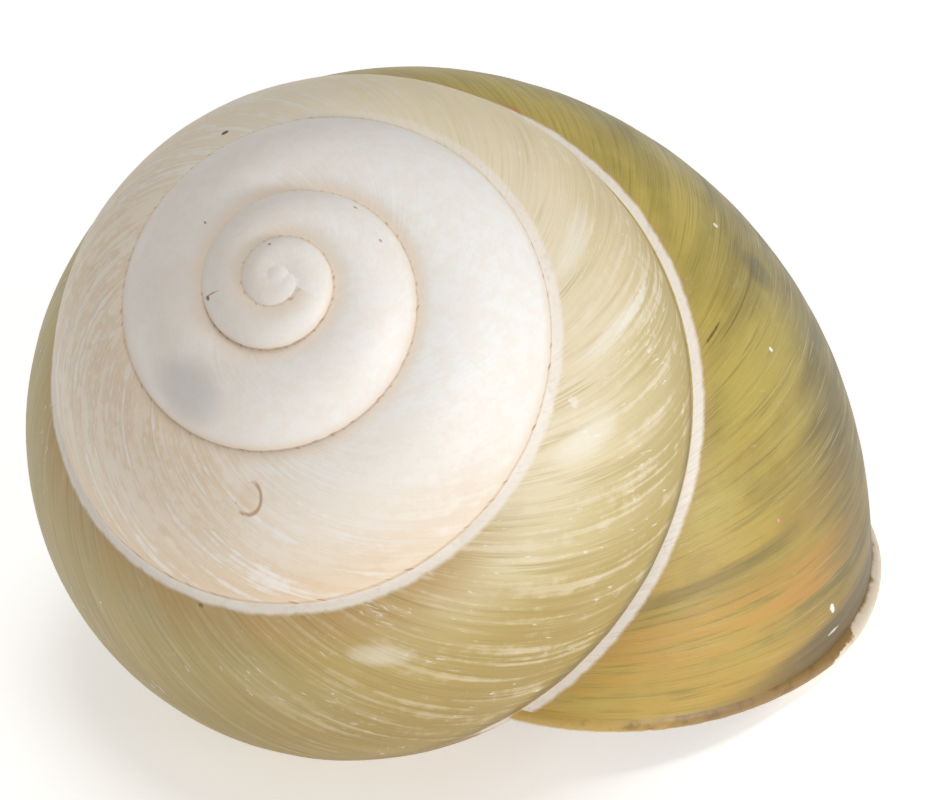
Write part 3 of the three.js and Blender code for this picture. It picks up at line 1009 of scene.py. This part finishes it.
def lipFinish():
    material, board = newFinish("lip")
    share, turnRound = whorlMap(board)
    count, detail = lipSkin["mottle"]
    mottle = board.noise(board.scaled(placeInMm(board), count), detail, dimensions="3D")
    cream = board.mix(mottle, colours["lipShade"], colours["lipCream"])

    # skin laps over the back of the bead, nearly to its front where the lip isn't turned out
    turnedOut = board.smoothStep(share + (mottle - 0.5) * 0.06, *lipSkin["turnedOut"])
    lap = board.sin(turnRound) + (mottle - 0.5) * 0.5 + turnedOut * 1.5
    behindFront = board.over(board.cos(turnRound), lipSkin["front"])
    skinOver = board.smoothStep(lap, *lipSkin["skinEnds"]) * behindFront
    dulled = board.smoothStep(share + (mottle - 0.5) * 0.1, *lipSkin["dulled"])
    horn = board.mix(dulled, colours["horn"], colours["dullHorn"])
    horn = board.mix(board.smoothStep(mottle, 0.5, 0.7) * 0.5, horn, colours["hornSpeck"])
    height = mottle + skinOver * 0.5
    endFinish(board, {
        "Base Color": board.mix(skinOver, cream, horn),
        "Roughness": lipSkin["roughness"] + mottle * 0.15,
        "Normal": bumpNormal(board, height, lipSkin["bump"], lipSkin["bumpStrength"])})
    return material


print("finishes ready")


# The shell grows at the tip of its own axes, and is then laid mouth down as the CAD has it

rest = {
    "up": (-0.5607, 0.2948, 0.7737),  # directions in the shell's own axes
    "front": (0.4, 0.084, 0.912),
    "tip": (-8.19756, -16.60222, 34.45474),  # where the tip lies in the row frame, in mm
}


def restMatrix():
    up = Vector(rest["up"]).normalized()
    front = Vector(rest["front"])
    back = -(front - up * front.dot(up)).normalized()
    turn = Matrix((back.cross(up), back, up)).to_4x4()
    return Matrix.Translation(Vector(rest["tip"]) * mm) @ Matrix.Scale(mm, 4) @ turn


def evaluatedMesh(tree, name, settings):
    carrier = bpy.data.objects.new(name, bpy.data.meshes.new(name))
    scene.collection.objects.link(carrier)
    modifier = carrier.modifiers.new("grow", "NODES")
    modifier.node_group = tree
    sockets = {each.name: each.identifier for each in tree.interface.items_tree if each.in_out == "INPUT"}
    for label, value in settings.items():
        modifier[sockets[label]] = value
    grown = bpy.data.meshes.new_from_object(carrier.evaluated_get(bpy.context.evaluated_depsgraph_get()))
    bpy.data.objects.remove(carrier)
    return grown


shellMesh = evaluatedMesh(shellGroup(), "grownShell", {
    "Growth Relief": relief["height"], "Skin Finish": skinFinish(), "Room Finish": roomFinish(),
    "Lip Finish": lipFinish()})
shellMesh.transform(restMatrix())
for corner in shellMesh.vertices:
    corner.co.z = max(corner.co.z, 0)  # the worn flats that it stands on
shellPiece = bpy.data.objects.new("snailShell", shellMesh)
scene.collection.objects.link(shellPiece)
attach(shellPiece, "root")
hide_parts("shell")
print("shell grown:", len(shellMesh.vertices), "corners")


# Camera, floor and light

view = {
    "towardsCamera": (0.00011, -0.86241, 0.50621),
    "imageUp": (0.1389, 0.50131, 0.85404),
    "distance": 350,  # from the tip, in mm
    "aimRight": 10.015,  # from the tip to the middle of the frame, in mm
    "aimDown": 6.582,
    "lens": 267.5,
    "sensor": 36,
    "clip": (0.01, 10),  # in m
}


def addCamera():
    tip = Vector(rest["tip"])
    towards = Vector(view["towardsCamera"]).normalized()
    upwards = Vector(view["imageUp"])
    right = upwards.cross(towards).normalized()
    place = tip + towards * view["distance"]
    aim = tip + right * view["aimRight"] - upwards.normalized() * view["aimDown"]
    back = (place - aim).normalized()
    right = upwards.cross(back).normalized()
    camera = bpy.data.objects.new("camera", bpy.data.cameras.new("camera"))
    camera.matrix_world = Matrix.Translation(place * mm) @ Matrix(
        (right, back.cross(right), back)).transposed().to_4x4()
    camera.data.lens = view["lens"]
    camera.data.sensor_width = view["sensor"]
    camera.data.clip_start, camera.data.clip_end = view["clip"]
    scene.collection.objects.link(camera)
    scene.camera = camera


studio = {  # in m and W
    "sky": (1.0, 0.99, 0.97),
    "skyStrength": 0.30,
    "keyPower": 4.0,
    "keySize": 0.3,
    "keyPlace": (0.60, -0.52, 0.04),
    "topPower": 2.0,
    "topSize": 0.3,
    "topPlace": (0.04, -0.08, 0.8),
    "floorSize": 4.0,
    "floorGlow": 0.48,
    "floorRoughness": 0.8,
}


def addLight(name, place, power, size):
    light = bpy.data.lights.new(name, "AREA")
    light.energy = power
    light.size = size
    lamp = bpy.data.objects.new(name, light)
    lamp.location = place
    lamp.rotation_euler = (-Vector(place)).to_track_quat("-Z", "Y").to_euler()
    scene.collection.objects.link(lamp)


def addStudio():
    world = bpy.data.worlds.new("studio")
    world.use_nodes = True
    background = world.node_tree.nodes["Background"]
    background.inputs["Color"].default_value = (*studio["sky"], 1)
    background.inputs["Strength"].default_value = studio["skyStrength"]
    scene.world = world
    addLight("key", studio["keyPlace"], studio["keyPower"], studio["keySize"])
    addLight("top", studio["topPlace"], studio["topPower"], studio["topSize"])
    half = studio["floorSize"] / 2
    floorMesh = bpy.data.meshes.new("floor")
    corners = [(-half, -half, 0), (half, -half, 0), (half, half, 0), (-half, half, 0)]
    floorMesh.from_pydata(corners, [], [(0, 1, 2, 3)])
    material, board = newFinish("paleFloor")
    endFinish(board, {"Base Color": colours["floor"], "Roughness": studio["floorRoughness"],
                      "Emission Color": (1, 1, 1), "Emission Strength": studio["floorGlow"]})
    floorMesh.materials.append(material)
    floor = bpy.data.objects.new("floor", floorMesh)
    scene.collection.objects.link(floor)
    scene.view_settings.view_transform = "Standard"


addCamera()
addStudio()
print("camera and studio set")
